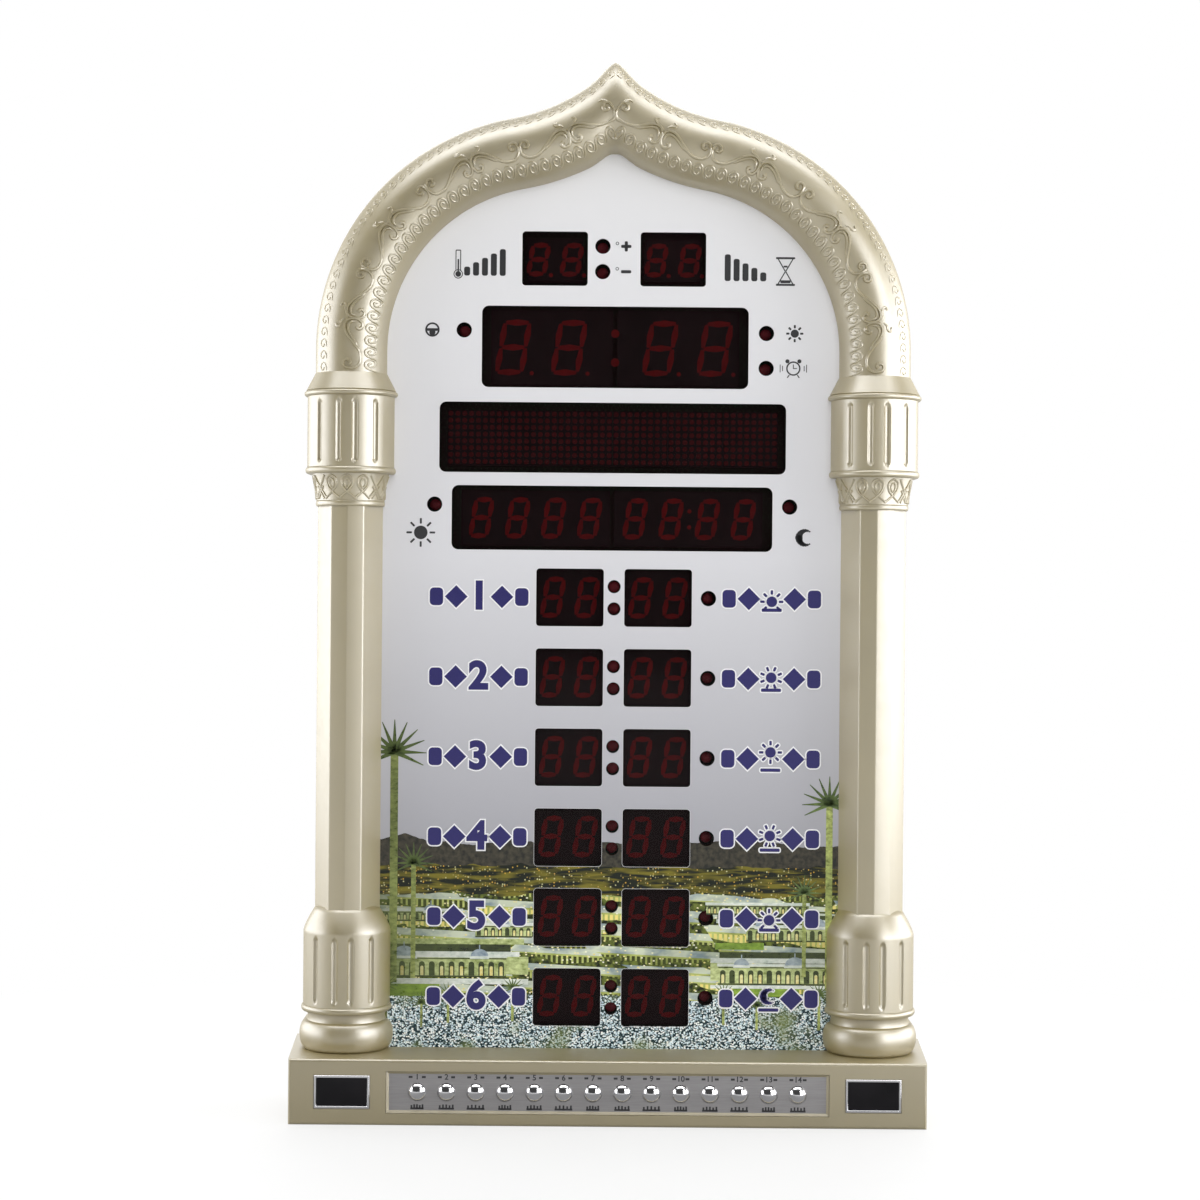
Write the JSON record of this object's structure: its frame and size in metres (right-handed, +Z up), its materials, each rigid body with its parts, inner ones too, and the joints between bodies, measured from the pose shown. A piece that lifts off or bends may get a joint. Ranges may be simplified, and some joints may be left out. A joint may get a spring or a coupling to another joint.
{
  "type": "azan clock",
  "caption": "Arched clock on columns and a base, with digit displays behind a printed face, press buttons along the base's front and keyholes to hang it by.",
  "frame": {"origin": "middle of the footprint, on the surface the base stands on", "axes": "+Z up, -Y out of the face towards the viewer, +X to the viewer's right"},
  "size_m": [0.2872, 0.0618, 0.4725],
  "materials": {
    "champagne_paint": "satin champagne paint on ABS",
    "cover_plastic": "fine matt black moulded plastic",
    "printed_face": "printed sheet, semi-gloss",
    "smoked_filter": "dark red smoked acrylic, polished",
    "circuit_board": "solder mask, satin",
    "lamp_red": "red tinted epoxy, polished",
    "silver_plate": "brushed and printed",
    "black_plastic": "satin",
    "bright_chrome": "bright plated",
    "black_lens": "polished dark lens",
    "pressed_steel": "black painted steel",
    "ferrite": "ground ferrite",
    "cone_paper": "pressed paper cone",
    "plated_metal": "zinc or nickel plated",
    "capacitor_can": "sleeved aluminium can",
    "cable_sheath": "soft PVC",
    "white_plastic": "nylon, satin",
    "digit_module": "black faced module with red tinted segments"
  },
  "bodies": {
    "root": {"arch_frame": "champagne_paint", "base_housing": "champagne_paint", "base_cover": "cover_plastic", "rear_cover": "cover_plastic", "face_panel": "printed_face", "display_filter": "smoked_filter", "main_board": "circuit_board", "temperature_display": "digit_module", "countdown_display": "digit_module", "clock_display": "digit_module", "matrix_display": "digit_module", "left_date_display": "digit_module", "right_date_display": "digit_module", "row_1_display": "digit_module", "row_2_display": "digit_module", "row_3_display": "digit_module", "row_4_display": "digit_module", "row_5_display": "digit_module", "row_6_display": "digit_module", "colon_leds": "lamp_red", "indicator_leds": "lamp_red", "control_plate": "silver_plate", "button_board": "circuit_board", "switch_housings": "black_plastic", "sensor_bezels": "bright_chrome", "sensor_lenses": "black_lens", "remote_receiver": "black_plastic", "light_sensor": "black_plastic", "speaker_frame": "pressed_steel", "speaker_magnet": "ferrite", "jack_barrel": "black_plastic", "jack_pin": "plated_metal", "cell_holder": "black_plastic", "backup_cell": "plated_metal", "controller_chip": "black_plastic", "driver_chips": "black_plastic", "capacitors": "capacitor_can", "ribbon_cable": "cable_sheath", "board_plugs": "white_plastic", "power_lead": "cable_sheath", "speaker_lead": "cable_sheath", "case_screws": "plated_metal", "board_screws": "plated_metal"},
    "speaker_cone": {"speaker_cone": "cone_paper"},
    "button_1": {"button_1": "bright_chrome"},
    "button_2": {"button_2": "bright_chrome"},
    "button_3": {"button_3": "bright_chrome"},
    "button_4": {"button_4": "bright_chrome"},
    "button_5": {"button_5": "bright_chrome"},
    "button_6": {"button_6": "bright_chrome"},
    "button_7": {"button_7": "bright_chrome"},
    "button_8": {"button_8": "bright_chrome"},
    "button_9": {"button_9": "bright_chrome"},
    "button_10": {"button_10": "bright_chrome"},
    "button_11": {"button_11": "bright_chrome"},
    "button_12": {"button_12": "bright_chrome"},
    "button_13": {"button_13": "bright_chrome"},
    "button_14": {"button_14": "bright_chrome"}
  },
  "joints": [
    {"name": "button_1_press", "type": "slide", "parent": "root", "child": "button_1", "axis": [0, 1, 0], "range_m": [0, 0.0004], "stiffness_N_per_m": 4000},
    {"name": "button_2_press", "type": "slide", "parent": "root", "child": "button_2", "axis": [0, 1, 0], "range_m": [0, 0.0004], "stiffness_N_per_m": 4000},
    {"name": "button_3_press", "type": "slide", "parent": "root", "child": "button_3", "axis": [0, 1, 0], "range_m": [0, 0.0004], "stiffness_N_per_m": 4000},
    {"name": "button_4_press", "type": "slide", "parent": "root", "child": "button_4", "axis": [0, 1, 0], "range_m": [0, 0.0004], "stiffness_N_per_m": 4000},
    {"name": "button_5_press", "type": "slide", "parent": "root", "child": "button_5", "axis": [0, 1, 0], "range_m": [0, 0.0004], "stiffness_N_per_m": 4000},
    {"name": "button_6_press", "type": "slide", "parent": "root", "child": "button_6", "axis": [0, 1, 0], "range_m": [0, 0.0004], "stiffness_N_per_m": 4000},
    {"name": "button_7_press", "type": "slide", "parent": "root", "child": "button_7", "axis": [0, 1, 0], "range_m": [0, 0.0004], "stiffness_N_per_m": 4000},
    {"name": "button_8_press", "type": "slide", "parent": "root", "child": "button_8", "axis": [0, 1, 0], "range_m": [0, 0.0004], "stiffness_N_per_m": 4000},
    {"name": "button_9_press", "type": "slide", "parent": "root", "child": "button_9", "axis": [0, 1, 0], "range_m": [0, 0.0004], "stiffness_N_per_m": 4000},
    {"name": "button_10_press", "type": "slide", "parent": "root", "child": "button_10", "axis": [0, 1, 0], "range_m": [0, 0.0004], "stiffness_N_per_m": 4000},
    {"name": "button_11_press", "type": "slide", "parent": "root", "child": "button_11", "axis": [0, 1, 0], "range_m": [0, 0.0004], "stiffness_N_per_m": 4000},
    {"name": "button_12_press", "type": "slide", "parent": "root", "child": "button_12", "axis": [0, 1, 0], "range_m": [0, 0.0004], "stiffness_N_per_m": 4000},
    {"name": "button_13_press", "type": "slide", "parent": "root", "child": "button_13", "axis": [0, 1, 0], "range_m": [0, 0.0004], "stiffness_N_per_m": 4000},
    {"name": "button_14_press", "type": "slide", "parent": "root", "child": "button_14", "axis": [0, 1, 0], "range_m": [0, 0.0004], "stiffness_N_per_m": 4000},
    {"name": "speaker_cone_stroke", "type": "slide", "parent": "root", "child": "speaker_cone", "axis": [0, 1, 0], "range_m": [-0.0005, 0.0005], "stiffness_N_per_m": 1500}
  ]
}
